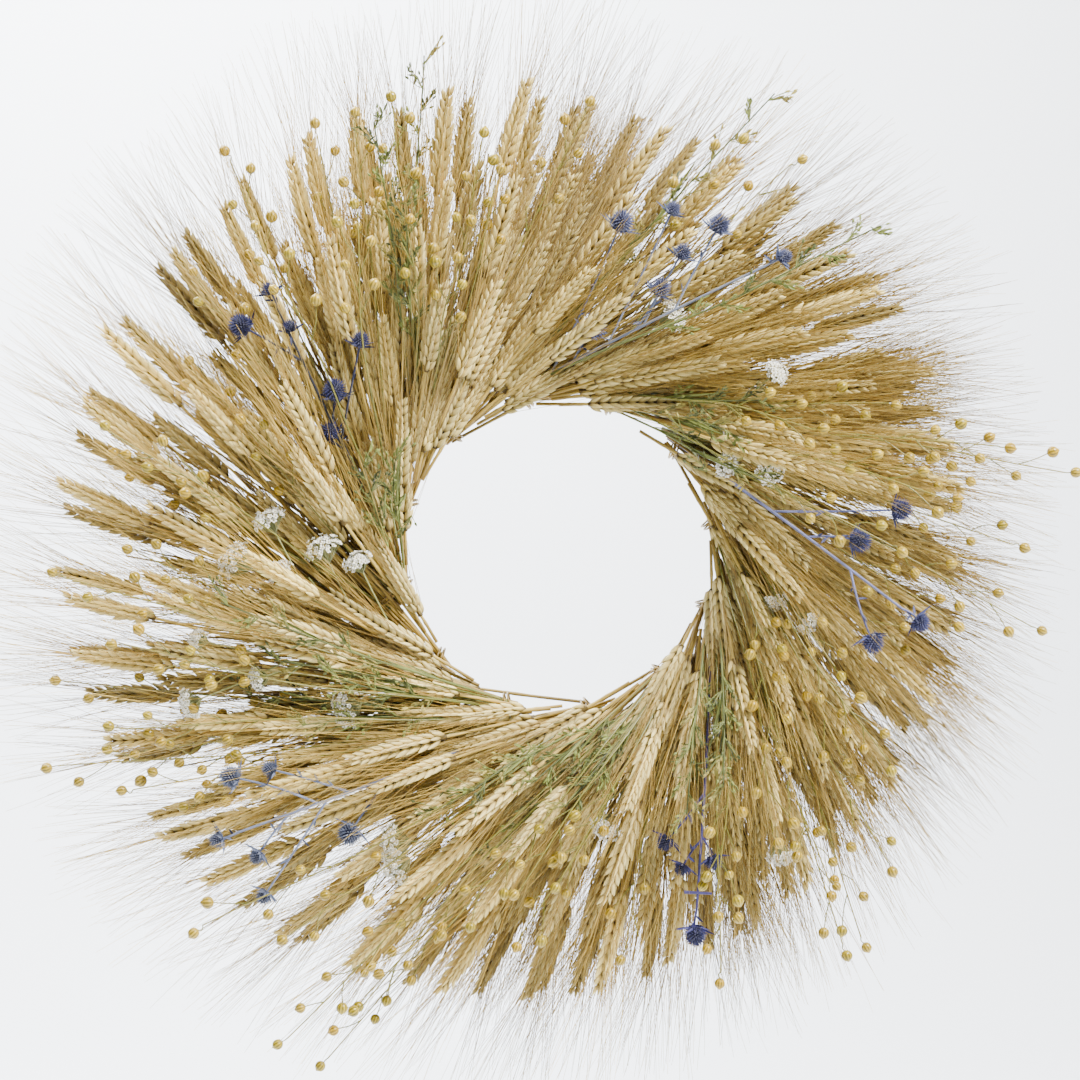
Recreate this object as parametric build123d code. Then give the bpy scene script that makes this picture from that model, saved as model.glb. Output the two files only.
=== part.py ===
from build123d import *
import math
import os
import numpy as np

# Harvest wreath: bundles of bearded wheat bound round a wire ring, swept clockwise,
# with flax, sea holly, white flowers and green filler laid over them.
# +X is right and +Z is up as seen from the front, and the front faces -Y.
# The origin is where the hook touches the inside of the hanging loop.
# Layout numbers are (across, up) in mm from the ring's centre; height is towards the front.

# Frame and binding
RING_RADIUS = 112.0
RING_WIRE = 1.75
LOOP_LENGTH = 34.0
LOOP_WIRE = 1.0
LOOP_HALF_WIDTH = 8.5
SLEEVE_LENGTH = 8.0
SLEEVE_BORE = 1.90
SLEEVE_OUTER = 3.1
TIE_WIRE = 0.6
TIE_GAP = 0.3
TIE_HALF_WIDTH = 18.6
TIE_HEIGHT = 27.5
TIE_TURN_PITCH = 2.6
CENTRE_Z = -(RING_RADIUS + LOOP_LENGTH)

# Bundles
TIES = 12
FIRST_TIE = 105.0
SWEEP = 62.0
FAN_STEP = 9.5
SLOTS = 7
SLOT_PITCH = 3.3
LAYER_PITCH = 2.95
FIRST_HEIGHT = 4.6
CUT_BACK = 6.0
CLEARANCE = 0.3

# Wheat
STRAW = 1.2
EAR_RADIUS = 5.7
EAR_LENGTH = 62.0
SPIKELET_ROWS = 9
AWN_LENGTH = 62.0
AWN_BRUSH = 1.9
OUTLINE = 296.0
OUTLINE_SWELL = 31.0
SWELL_ANGLE = 168.0

# Accents
ACCENT_LAYERS = (3, 4, 5)
FLAX_STEM = 0.55
FLAX_TWIG = 0.4
CAPSULE = 3.4
HOLLY_STEM = 1.0
HOLLY_TWIG = 0.7
FLOWER_STEM = 0.6
FLORET = 3.4
GREEN_STEM = 0.7
LEAF_LENGTH = 15.0
LEAF_WIDTH = 4.6
BRACT = 3.6
DOME = [math.radians(angle) for angle in (118, 78, 40, 0)]
LEAF_THICK = 0.8
STRAIGHT = 40.0
ARCH = 90.0
BUTT = 0.12
MIN_TURN = math.radians(0.4)

GOLDEN = 0.6180339887


def vary(number, spread=1.0):
    """A steady, evenly mixed value from -spread to spread for a whole number."""
    return spread * (2.0 * ((number * GOLDEN) % 1.0) - 1.0)


def polar(radius, degrees):
    """The (across, up) point at a radius and angle, anticlockwise from the right."""
    angle = math.radians(degrees)
    return np.array([radius * math.cos(angle), radius * math.sin(angle)])


def in_space(point, height):
    """A layout point at a height in front of the ring, in part coordinates."""
    return np.array([point[0], -height, point[1] + CENTRE_Z])


def tie_angle(tie):
    return FIRST_TIE - 360.0 / TIES * tie


def outline(degrees):
    """How far the ear tips reach from the centre; the left side is fuller."""
    return OUTLINE + OUTLINE_SWELL * math.cos(math.radians(degrees - SWELL_ANGLE))


# ---------------------------------------------------------------- clearances


def gaps(starts, ends, radii, other_starts, other_ends, other_radii):
    """The gap between every rod of one set and every rod of another."""
    along = (ends - starts)[:, None]
    across = (other_ends - other_starts)[None]
    between = starts[:, None] - other_starts[None]
    a = (along * along).sum(-1)
    e = (across * across).sum(-1)
    b = (along * across).sum(-1)
    c = (along * between).sum(-1)
    f = (across * between).sum(-1)
    spread = a * e - b * b
    s = np.clip((b * f - c * e) / np.where(spread > 1e-9, spread, 1.0), 0, 1)
    t = np.clip((b * s + f) / e, 0, 1)
    s = np.clip((b * t - c) / a, 0, 1)
    apart = between + along * s[..., None] - across * t[..., None]
    return np.sqrt((apart * apart).sum(-1)) - radii[:, None] - other_radii[None]


class Laid:
    """Everything laid on the wreath so far, as rods."""

    def __init__(self):
        self.starts = np.zeros((0, 3))
        self.ends = np.zeros((0, 3))
        self.radii = np.zeros(0)

    def clear(self, rods):
        starts, ends, radii = rods
        low = np.minimum(starts, ends).min(0) - radii.max() - CLEARANCE
        high = np.maximum(starts, ends).max(0) + radii.max() + CLEARANCE
        width = self.radii[:, None]
        near = (np.minimum(self.starts, self.ends) - width < high).all(1)
        near &= (np.maximum(self.starts, self.ends) + width > low).all(1)
        if not near.any():
            return True
        found = gaps(starts, ends, radii, self.starts[near], self.ends[near], self.radii[near])
        return found.min() >= CLEARANCE

    def add(self, rods):
        self.starts = np.vstack([self.starts, rods[0]])
        self.ends = np.vstack([self.ends, rods[1]])
        self.radii = np.concatenate([self.radii, rods[2]])


def as_rods(pieces):
    """Rods from (start, end, radius) triples."""
    starts = np.array([piece[0] for piece in pieces])
    ends = np.array([piece[1] for piece in pieces])
    return starts, ends, np.array([float(piece[2]) for piece in pieces])


def nudges(most_turn, most_lift):
    """Small turns and lifts to try, the smallest first."""
    turns = np.arange(-most_turn, most_turn + 0.1, 1.5)
    lifts = np.arange(-0.6 * most_lift, most_lift + 0.1, 1.0)
    found = [(t, v) for t in turns for v in lifts]
    return sorted(found, key=lambda n: (abs(n[0]) + abs(n[1]) * 0.8, n[0], n[1]))


def rise(distance, slope):
    """Height gained along a stem that climbs straight at first and then arches over."""
    if distance <= STRAIGHT:
        return slope * distance
    return slope * (STRAIGHT + ARCH * (1.0 - math.exp((STRAIGHT - distance) / ARCH)))


# ---------------------------------------------------------------- solids


def aimed(origin, towards):
    """A plane at a point whose normal looks along a direction."""
    normal = Vector(*towards).normalized()
    side = Vector(0, 0, 1) if abs(normal.Z) < 0.9 else Vector(1, 0, 0)
    return Plane(origin=Vector(*origin), x_dir=normal.cross(side), z_dir=normal)


def turned(start, direction, lines):
    """A solid turned from a closed half profile, its axis along a direction."""
    round_shape = revolve(make_face(lines), axis=Axis.X, revolution_arc=360)
    plane = aimed(start, direction)
    frame = Plane(origin=plane.origin, x_dir=plane.z_dir, z_dir=plane.x_dir)
    return (frame * round_shape).solids()[0]


def wheat_solid(root, direction, stem, ear, awn):
    """A stalk: straw, an ear whose spikelets swell in rows, and its brush of awns."""
    points = [(0.0, 0.0), (0.0, STRAW), (stem, STRAW)]
    lines = [Line(points[0], points[1]), Line(points[1], points[2])]
    last = points[2]
    for row in range(SPIKELET_ROWS):
        middle = (row + 0.5) / SPIKELET_ROWS
        after = (row + 1.0) / SPIKELET_ROWS
        bulge = EAR_RADIUS * (1.0 - 0.9 * abs(middle - 0.38) ** 1.35)
        waist = AWN_BRUSH if row == SPIKELET_ROWS - 1 else 0.8 * bulge
        end = (stem + ear * after, waist)
        lines.append(ThreePointArc(last, (stem + ear * middle, bulge), end))
        last = end
    tip = (last[0] + awn, 0.35)
    lines.append(Line(last, tip))
    lines.append(Line(tip, (tip[0], 0.0)))
    lines.append(Line((tip[0], 0.0), points[0]))
    return turned(root, direction, lines)


def cap(edge, tip):
    """An arc that meets the axis squarely at the tip."""
    centre = (tip**2 - edge[0] ** 2 - edge[1] ** 2) / (2 * (tip - edge[0]))
    half = math.atan2(edge[1], edge[0] - centre) / 2
    middle = (centre + (tip - centre) * math.cos(half), (tip - centre) * math.sin(half))
    return ThreePointArc(edge, middle, (tip, 0))


def headed_twig(start, end, radius, kind, size):
    """A twig that carries a seed capsule, a sea-holly head or a domed flower cluster."""
    length = float(np.linalg.norm(end - start))
    if kind == "capsule":
        neck = (length - math.sqrt(size**2 - radius**2), radius)
        lines = [Line((0, radius), neck)]
        lines.append(ThreePointArc(neck, (length, size), (length + size, 0)))
        tip = (length + size, 0)
    elif kind == "holly":
        back = length - 0.8 * size
        front = (back + 0.8, math.sqrt(size**2 - (0.8 * size - 0.8) ** 2))
        tip = (length + size, 0)
        corners = [(0, radius), (back, radius), (back, size + BRACT), (back + 0.8, size + BRACT)]
        lines = [Line(a, b) for a, b in zip(corners, [*corners[1:], front])]
        side = (length + size * math.cos(0.7), size * math.sin(0.7))
        lines.append(ThreePointArc(front, side, tip))
    else:
        dome = [(length + 0.6 * size * math.cos(a), size * math.sin(a)) for a in DOME]
        bulges = [(a + b) / 2 for a, b in zip(DOME, DOME[1:])]
        tip = (dome[-1][0], 0)
        dome[-1] = tip
        corners = [(0, radius), (dome[0][0], radius), dome[0]]
        lines = [Line(a, b) for a, b in zip(corners, corners[1:])]
        for number, bulge in enumerate(bulges[:-1]):
            out = 1.12 * size
            middle = (length + 0.6 * out * math.cos(bulge), out * math.sin(bulge))
            lines.append(ThreePointArc(dome[number], middle, dome[number + 1]))
        lines.append(cap(dome[-2], tip[0]))
    lines = [Line((0, 0), (0, radius)), *lines, Line(tip, (0, 0))]
    return turned(start, end - start, lines)


def bent_stem(points, radius):
    """A round stem of straight runs joined by wide tangent arcs."""
    corners, turns = [points[0]], []
    for here, after in zip(points[1:], points[2:]):
        run, onward = here - corners[-1], after - here
        turn = math.acos(min(1.0, run @ onward / (np.linalg.norm(run) * np.linalg.norm(onward))))
        if turn > MIN_TURN:
            corners.append(here)
            turns.append(turn)
    corners.append(points[-1])
    runs = [float(np.linalg.norm(b - a)) for a, b in zip(corners, corners[1:])]
    radii = [0.45 * min(a, b) / math.tan(turn / 2) for a, b, turn in zip(runs, runs[1:], turns)]
    corners = [tuple(corner) for corner in corners]
    path = FilletPolyline(*corners, radius=radii) if radii else Line(*corners)
    start = Plane(origin=path @ 0, z_dir=path % 0)
    return sweep(start * Circle(radius), path=path).solids()[0]


def leaf(start, end, facing):
    """A narrow pointed leaf of even thickness."""
    length = float(np.linalg.norm(end - start))
    half = LEAF_WIDTH / 2
    points = [
        (0.0, 0.0),
        (length * 0.35, -half),
        (length * 0.7, -half * 0.7),
        (length, 0.0),
        (length * 0.7, half * 0.7),
        (length * 0.35, half),
    ]
    flat = extrude(make_face(Polyline(*points, close=True)), amount=LEAF_THICK / 2, both=True)
    along = Vector(*(end - start)).normalized()
    normal = along.cross(Vector(*facing)).cross(along).normalized()
    return Plane(origin=Vector(*start), x_dir=along, z_dir=normal) * flat


# ---------------------------------------------------------------- sprays


class Spray:
    """A branched stem in its own plane: along its direction, and to the left of it."""

    def __init__(self, length, thick, sway):
        self.length, self.thick, self.sway = length, thick, sway
        self.twigs = []

    def stem_point(self, ahead):
        """The stem's line, which sways a little once it has left the tie."""
        share = max(ahead - STRAIGHT, 0.0) / max(self.length - STRAIGHT, 1.0)
        return ahead, self.sway * math.sin(math.pi * share) ** 2

    def twig(self, ahead, end, radius, kind, size):
        """A twig or leaf from the stem's side to a point of the plane."""
        start = np.array(self.stem_point(ahead))
        way = np.array(end) - start
        way = way / np.linalg.norm(way)
        stand_off = (self.thick + BUTT + radius) / max(abs(way[1]), 0.35)
        if ahead >= self.length:
            stand_off = BUTT
        self.twigs.append((start + way * stand_off, np.array(end), radius, kind, size))

    def placed(self, root, height, angle, tilt):
        """The stem's points and the twigs in part coordinates."""
        slope = math.tan(math.radians(tilt))
        ahead, left = polar(1.0, angle), polar(1.0, angle + 90.0)

        def at(point):
            level = height + rise(math.hypot(*point), slope)
            return in_space(root + ahead * point[0] + left * point[1], level)

        steps = max(4, round(self.length / 26.0))
        stem = [at(self.stem_point(self.length * n / steps)) for n in range(steps + 1)]
        return stem, [(at(start), at(end), *rest) for start, end, *rest in self.twigs]


def spray_rods(thick, stem, twigs):
    rods = []
    for number, (start, end) in enumerate(zip(stem, stem[1:])):
        rods.append((start, end, thick + (0.05 if number == 0 else 0.3)))
    for start, end, radius, kind, size in twigs:
        way = (end - start) / np.linalg.norm(end - start)
        if kind == "leaf":
            rods.append((start + way * 2.0, end, LEAF_WIDTH / 2))
            continue
        rods.append((start, end, radius + 0.05))
        if kind == "capsule":
            rods.append((end - way * 0.01, end + way * 0.01, size))
        elif kind == "holly":
            rods.append((end - way * 0.01, end + way * 0.01, size + 0.1))
            rods.append((end - way * size * 0.8, end - way * (size * 0.8 - 0.8), size + BRACT))
        else:
            rods.append((end - way * 0.2 * size, end + way * 0.01, size * 1.12))
    return as_rods(rods)


def spray_solids(thick, stem, twigs):
    solids = [bent_stem(stem, thick)]
    for start, end, radius, kind, size in twigs:
        if kind == "leaf":
            solids.append(leaf(start, end, (0.25, -1.0, 0.1)))
        else:
            solids.append(headed_twig(start, end, radius, kind, size))
    return solids


def flax_spray(length, number):
    """A flax stem whose twigs each end in a round seed capsule."""
    spray = Spray(length, FLAX_STEM, vary(number, 6.0))
    spray.twig(length, (length + 7.0, vary(number, 2.0)), FLAX_TWIG, "capsule", CAPSULE)
    twigs = 3 + number % 3
    for twig in range(twigs):
        share = 0.93 - 0.3 * twig / twigs
        side = 1 if (twig + number) % 2 else -1
        start = length * share - 14.0
        reach = 19.0 + vary(number + 3 * twig, 6.0)
        across = spray.stem_point(start)[1] + side * (9.0 + vary(twig + number, 3.0))
        size = CAPSULE + vary(number + twig, 0.35)
        spray.twig(start, (start + reach, across), FLAX_TWIG, "capsule", size)
    return spray


def green_spray(length, number, leaves):
    """A filler stem with narrow leaves set alternately towards its tip."""
    spray = Spray(length, GREEN_STEM, vary(number, 5.0))
    for number_on in range(leaves):
        share = 0.97 - 0.62 * number_on / leaves
        side = 1 if number_on % 2 else -1
        start = spray.stem_point(length * share)
        size = LEAF_LENGTH * (1.0 + vary(number + number_on, 0.25))
        end = (start[0] + size * 0.86, start[1] + side * size * 0.5)
        spray.twig(start[0], end, 0.0, "leaf", 0.0)
    return spray


def headed_spray(root, heads, thick, thin, kind):
    """A spray whose heads sit at given layout points. Returns it and its direction."""
    far = max(heads, key=lambda h: np.linalg.norm(np.array(h[:2]) - root))
    reach = np.array(far[:2]) - root
    angle = math.degrees(math.atan2(reach[1], reach[0]))
    length = float(np.linalg.norm(reach)) - far[2] - 8.0
    ahead, left = polar(1.0, angle), polar(1.0, angle + 90.0)
    spray = Spray(length, thick, 0.0)
    for head in heads:
        offset = np.array(head[:2]) - root
        end = (offset @ ahead, offset @ left)
        start = max(4.0, min(end[0] - 10.0 - 1.1 * abs(end[1]), length))
        spray.twig(length if head is far else start, end, thin, kind, head[2])
    return spray, angle


# ---------------------------------------------------------------- laying on


laid = Laid()
slots = {}
left_out = []


def slot_point(tie, place, layer):
    """Where a stem's cut end sits behind its tie, and its height."""
    sweep = tie_angle(tie) - SWEEP
    start = polar(RING_RADIUS, tie_angle(tie)) - polar(CUT_BACK, sweep)
    return start + polar(place * SLOT_PITCH, sweep - 90.0), FIRST_HEIGHT + layer * LAYER_PITCH


def free_slots(tie, angle, layers):
    """Free places at a tie, the ones on the stem's own side first."""
    sweep = tie_angle(tie) - SWEEP
    off = (sweep - angle + 180.0) % 360.0 - 180.0
    wanted = off / FAN_STEP
    found = []
    for layer in layers:
        for place in range(-(SLOTS // 2), SLOTS // 2 + 1):
            if (tie, place, layer) not in slots:
                found.append((abs(place - wanted) + 0.6 * (layer - layers[0]), place, layer))
    return [(place, layer) for _, place, layer in sorted(found)]


def lay_wheat(tie, place, layer):
    """Lay one stalk in its slot, turned or lifted as little as clears the others."""
    number = tie * 31 + place * 7 + layer * 13 + 5
    root, height = slot_point(tie, place, layer)
    fan = SWEEP + FAN_STEP * place + 3.0 * layer + vary(number, 2.2)
    angle = tie_angle(tie) - fan
    lean = 6.0 + 1.45 * place + 5.6 * layer
    share = (1.0, 0.8, 0.6)[layer] - 0.07 * abs(vary(number * 3 + 1, 1.0))
    ear = EAR_LENGTH * (1.0 + vary(number * 5 + 2, 0.11))
    awn = AWN_LENGTH * (1.0, 0.8, 0.55)[layer] * (1.0 + vary(number * 7, 0.12))
    full = reach_to_outline(root, angle)
    for turn, lift, trim in [(*n, k) for k in (1.0, 0.86, 1.12) for n in nudges(9.0, 13.0)]:
        stem = full * share * min(trim, 1.0 / share) - ear
        tilt = math.radians(lean + lift)
        flat = polar(math.cos(tilt), angle + turn)
        along = np.array([flat[0], -math.sin(tilt), flat[1]])
        start = in_space(root, height)
        marks = [0.0, stem, stem + 0.14 * ear, stem + 0.68 * ear, stem + 0.97 * ear]
        marks += [stem + ear + 0.5 * awn, stem + ear + awn]
        sizes = [STRAW, 4.9, EAR_RADIUS + 0.03, 4.7, AWN_BRUSH + 0.05, 1.15]
        starts = [start + along * mark for mark in marks[:-1]]
        ends = [start + along * mark for mark in marks[1:]]
        starts[1] = start + along * (stem + 0.05 * ear)
        rods = as_rods(list(zip(starts, ends, sizes)))
        if lean + lift > 0.5 and laid.clear(rods):
            laid.add(rods)
            return wheat_solid(start, along, stem, ear, awn)
    left_out.append(("wheat", tie, place, layer))
    return None


def reach_to_outline(root, angle):
    """The distance from a root, in one direction, to the outline of the ears."""
    ahead = polar(1.0, angle)
    reach = 150.0
    for _ in range(12):
        tip = root + ahead * reach
        edge = outline(math.degrees(math.atan2(tip[1], tip[0])))
        inner = root @ ahead
        reach = -inner + math.sqrt(max(edge**2 - (root @ root - inner**2), 1.0))
    return reach


def lay_spray(name, tie, angle, tilt, make):
    """Lay one spray at the first slot and nudge that clears the rest."""
    for place, layer in free_slots(tie, angle, ACCENT_LAYERS)[:9]:
        root, height = slot_point(tie, place, layer)
        spray, heading = make(root)
        heading = angle if heading is None else heading
        for turn, lift in nudges(9.0, 17.0):
            pieces = spray.placed(root, height, heading + turn, tilt + lift)
            rods = spray_rods(spray.thick, *pieces)
            if laid.clear(rods):
                laid.add(rods)
                slots[(tie, place, layer)] = name
                return spray_solids(spray.thick, *pieces)
    left_out.append((name, tie, angle))
    return []


# ---------------------------------------------------------------- frame


ring = Rot(90, 0, 0) * Torus(RING_RADIUS, RING_WIRE)
frame_ring = Pos(0, 0, CENTRE_Z) * ring


def hanging_loop():
    """A wire arch on a short sleeve that turns on the ring."""
    top = LOOP_WIRE
    foot = -LOOP_LENGTH
    points = [
        (-3.0, 0, foot + 2.4),
        (-LOOP_HALF_WIDTH, 0, foot + 14.0),
        (-LOOP_HALF_WIDTH, 0, top),
        (LOOP_HALF_WIDTH, 0, top),
        (LOOP_HALF_WIDTH, 0, foot + 14.0),
        (3.0, 0, foot + 2.4),
    ]
    path = FilletPolyline(*points, radius=6.5)
    start = Plane(origin=path @ 0, z_dir=path % 0)
    arch = sweep(start * Circle(LOOP_WIRE), path=path)
    sleeve = Rot(0, 90, 0) * (
        Cylinder(SLEEVE_OUTER, SLEEVE_LENGTH) - Cylinder(SLEEVE_BORE, SLEEVE_LENGTH)
    )
    whole = (Pos(0, 0, foot) * sleeve).fuse(arch)
    return whole.solids()


def tie_path(tie, shift):
    """The corners of one turn of binding wire, square to its bundle."""
    sweep_to = tie_angle(tie) - SWEEP
    centre = polar(RING_RADIUS, tie_angle(tie)) + polar(shift, sweep_to)
    side = polar(TIE_HALF_WIDTH, sweep_to - 90.0)
    low = -(RING_WIRE + TIE_WIRE + TIE_GAP)
    corners = []
    for across, level in ((-1, low), (1, low), (1, TIE_HEIGHT), (-1, TIE_HEIGHT)):
        corners.append(in_space(centre + side * across, level))
    return corners


binding = []
for tie in range(TIES):
    for turn in (-0.5, 0.5):
        corners = tie_path(tie, turn * TIE_TURN_PITCH)
        path = FilletPolyline(*[tuple(c) for c in corners], radius=6.0, close=True)
        start = Plane(origin=path @ 0, z_dir=path % 0)
        binding.append(sweep(start * Circle(TIE_WIRE), path=path).solids()[0])
        rods = [(corners[n], corners[(n + 1) % 4], TIE_WIRE) for n in range(4)]
        laid.add(as_rods(rods))

steps = 72
ring_line = [in_space(polar(RING_RADIUS, 360.0 / steps * n), 0.0) for n in range(steps + 1)]
laid.add(as_rods([(ring_line[n], ring_line[n + 1], RING_WIRE + 0.15) for n in range(steps)]))
sleeve_end = np.array([SLEEVE_LENGTH / 2, 0, -LOOP_LENGTH])
sleeve_start = sleeve_end * [-1, 1, 1]
laid.add(as_rods([(sleeve_start, sleeve_end, SLEEVE_OUTER)]))
for side in (-1, 1):
    post_foot = np.array([side * 3.0, 0, -LOOP_LENGTH + 2.4])
    post_knee = np.array([side * LOOP_HALF_WIDTH, 0, -LOOP_LENGTH + 14.0])
    post_top = np.array([side * LOOP_HALF_WIDTH, 0, LOOP_WIRE])
    laid.add(as_rods([(post_foot, post_knee, 1.3), (post_knee, post_top, 1.3)]))
laid.add(as_rods([(post_top, post_top * [-1, 1, 1], 1.3)]))

# ---------------------------------------------------------------- wheat and accents

wheat = {tie: [] for tie in range(TIES)}


def lay_layer(layer):
    """Lay one layer of stalks at every tie."""
    for tie in range(TIES):
        for place in range(-(SLOTS // 2), SLOTS // 2 + 1):
            stalk = lay_wheat(tie, place, layer)
            if stalk is not None:
                wheat[tie].append(stalk)


lay_layer(0)
lay_layer(1)

# Sea holly heads by spray: (tie, [(across, up, radius), ...])
HOLLY = {
    "left": (10, [(-193, 139, 7.5), (-176, 161, 4.5), (-164, 139, 4.5), (-138, 101, 7.5),
                  (-121, 131, 5.5), (-158, 80, 4.0), (-142, 76, 6.5)]),
    "top": (0, [(39, 203, 7.5), (70, 210, 5.0), (98, 200, 7.0), (76, 184, 5.5),
                (137, 180, 5.0), (63, 163, 6.5), (23, 141, 8.0)]),
    "right": (2, [(185, 8, 7.5), (210, 27, 7.0), (192, -54, 7.0), (221, -42, 6.0)]),
    "bottom": (4, [(66, -178, 5.5), (76, -194, 4.5), (96, -190, 5.5), (86, -212, 5.0),
                   (84, -234, 7.0)]),
    "lower_left": (7, [(-198, -140, 7.0), (-175, -135, 5.0), (-126, -174, 7.5),
                       (-205, -178, 5.0), (-181, -188, 5.0), (-176, -212, 5.0)]),
}

# White flower clusters by spray: (tie, [(across, up, spread), ...])
FLOWERS = {
    "left_inner": (9, [(-119, 24, 6), (-107, 46, 7)]),
    "left_string": (8, [(-147, 2, 8), (-153, -18, 7), (-172, -12, 6), (-199, -5, 9),
                        (-179, 20, 7), (-125, -6, 6)]),
    "lower_left": (7, [(-131, -99, 8), (-185, -81, 5), (-226, -97, 6), (-222, -58, 5)]),
    "bottom_left": (6, [(-89, -196, 8), (-86, -210, 8)]),
    "bottom": (5, [(24, -166, 7), (36, -172, 7)]),
    "bottom_right": (4, [(139, -187, 6)]),
    "right_low": (3, [(141, -26, 6), (161, -38, 6)]),
    "right_top": (2, [(110, 71, 7), (101, 52, 6), (125, 44, 7), (138, 101, 5), (146, 71, 6)]),
    "top": (0, [(71, 148, 7), (60, 160, 5)]),
    "top_left": (11, [(-73, 156, 7), (-60, 148, 5)]),
}

# Flax by tie: (tie, first angle, last angle, shortest, longest, stems)
FLAX = (
    (10, 92, 118, 120, 240, 6),
    (11, 66, 98, 80, 220, 7),
    (9, 128, 150, 90, 190, 6),
    (8, 165, 203, 110, 200, 5),
    (7, 163, 192, 195, 285, 6),
    (6, 207, 232, 185, 272, 6),
    (5, 228, 248, 130, 205, 5),
    (4, 268, 298, 150, 228, 6),
    (3, 280, 312, 90, 200, 7),
    (2, 324, 358, 150, 250, 7),
    (1, 332, 352, 110, 200, 4),
    (0, 34, 40, 180, 225, 2),
)

# Green filler by tie: (tie, first angle, last angle, shortest, longest, stems, leaves)
GREENS = (
    (11, 86, 92, 90, 235, 3, 10),
    (0, 32, 38, 150, 244, 2, 9),
    (7, 159, 176, 95, 190, 5, 6),
    (5, 219, 236, 60, 110, 4, 6),
    (1, 334, 352, 60, 120, 3, 6),
    (9, 88, 104, 55, 85, 2, 7),
    (4, 262, 274, 80, 135, 3, 8),
    (6, 210, 222, 80, 120, 3, 7),
)

nodes = {}
for name, (tie, heads) in HOLLY.items():
    middle = np.array(heads)[:, :2].mean(0) - polar(RING_RADIUS, tie_angle(tie))
    angle = math.degrees(math.atan2(middle[1], middle[0]))

    def make(root, heads=heads):
        return headed_spray(root, heads, HOLLY_STEM, HOLLY_TWIG, "holly")

    nodes["sea_holly_" + name] = lay_spray("holly " + name, tie, angle, 25.0, make)

for name, (tie, heads) in FLOWERS.items():
    middle = np.array(heads)[:, :2].mean(0) - polar(RING_RADIUS, tie_angle(tie))
    angle = math.degrees(math.atan2(middle[1], middle[0]))

    def make(root, heads=heads):
        return headed_spray(root, heads, FLOWER_STEM, FLOWER_STEM, "flower")

    nodes["white_flowers_" + name] = lay_spray("flowers " + name, tie, angle, 24.0, make)

lay_layer(2)

for tie, first, last, short, long, stems, leaves in GREENS:
    solids = []
    for stem in range(stems):
        share = stem / max(stems - 1, 1)
        length = long - (long - short) * ((stem * 2) % stems) / stems
        angle = first + (last - first) * share

        def make(root, length=length, number=tie * 5 + stem, leaves=leaves):
            return green_spray(length, number, leaves), None

        solids += lay_spray("green", tie, angle, 22.0, make)
    nodes[f"green_filler_{tie + 1:02d}"] = solids

for tie, first, last, short, long, stems in FLAX:
    solids = []
    for stem in range(stems):
        share = stem / max(stems - 1, 1)
        length = long - (long - short) * ((stem * 3) % stems) / stems
        angle = first + (last - first) * share

        def make(root, length=length, number=tie * 7 + stem):
            return flax_spray(length, number), None

        solids += lay_spray("flax", tie, angle, 22.0, make)
    nodes[f"flax_spray_{tie + 1:02d}"] = solids

# ---------------------------------------------------------------- files

nodes["frame_ring"] = list(frame_ring.solids())
nodes["hanging_loop"] = list(hanging_loop())
nodes["binding_wires"] = binding
for tie in range(TIES):
    nodes[f"wheat_bundle_{tie + 1:02d}"] = wheat[tie]

os.makedirs("parts", exist_ok=True)
for name, solids in nodes.items():
    if solids:
        export_step(Compound(children=solids), f"parts/{name}.step")
print(len(nodes), "nodes;", sum(len(s) for s in nodes.values()), "solids; left out", left_out)
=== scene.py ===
import math

import bpy
import numpy as np
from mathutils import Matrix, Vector


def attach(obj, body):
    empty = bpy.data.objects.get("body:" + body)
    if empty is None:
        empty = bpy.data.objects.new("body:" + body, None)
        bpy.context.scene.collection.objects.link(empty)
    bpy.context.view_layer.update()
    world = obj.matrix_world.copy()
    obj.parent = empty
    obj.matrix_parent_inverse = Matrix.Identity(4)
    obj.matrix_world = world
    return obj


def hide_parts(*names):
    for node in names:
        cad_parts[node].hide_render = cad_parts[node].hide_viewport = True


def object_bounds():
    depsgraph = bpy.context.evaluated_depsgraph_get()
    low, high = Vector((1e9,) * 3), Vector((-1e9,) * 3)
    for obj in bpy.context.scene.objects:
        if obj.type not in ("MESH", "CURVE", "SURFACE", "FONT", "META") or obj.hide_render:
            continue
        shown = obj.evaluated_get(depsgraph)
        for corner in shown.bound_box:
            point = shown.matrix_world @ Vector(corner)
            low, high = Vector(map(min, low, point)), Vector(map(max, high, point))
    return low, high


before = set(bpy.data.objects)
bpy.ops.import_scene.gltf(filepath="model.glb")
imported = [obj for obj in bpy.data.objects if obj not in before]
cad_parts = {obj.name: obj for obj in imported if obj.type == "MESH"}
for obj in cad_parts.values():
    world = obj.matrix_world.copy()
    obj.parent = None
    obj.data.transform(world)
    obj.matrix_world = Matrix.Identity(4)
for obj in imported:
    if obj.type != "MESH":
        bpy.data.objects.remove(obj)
cad_box = [list(corner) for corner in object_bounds()]
rng = np.random.default_rng(11)
MM = 0.001
HOLE = np.array([0.0, 0.0, -0.146])  # the ring's centre
BACK = 0.0022  # nothing passes the plane of the door
PROUD = 0.011  # how far awns may stand in front of the CAD box
SPIRAL_TURN = 2.399963  # radians between neighbours, so that points cover a ball evenly

# Where each kind of surface lies across a piece's cell of the bake map.
HEAD_BAND, TRIM_BAND, STEM_BAND, WHOLE_BAND = (0.02, 0.5), (0.54, 0.74), (0.78, 0.98), (0.02, 0.98)


def tone(code):
    """A linear colour from a hex sRGB code."""
    parts = [int(code[i:i + 2], 16) / 255 for i in (0, 2, 4)]
    return np.array([p / 12.92 if p <= 0.04045 else ((p + 0.055) / 1.055) ** 2.4 for p in parts])


# ---------------------------------------------------------------- reading the frame

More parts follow.
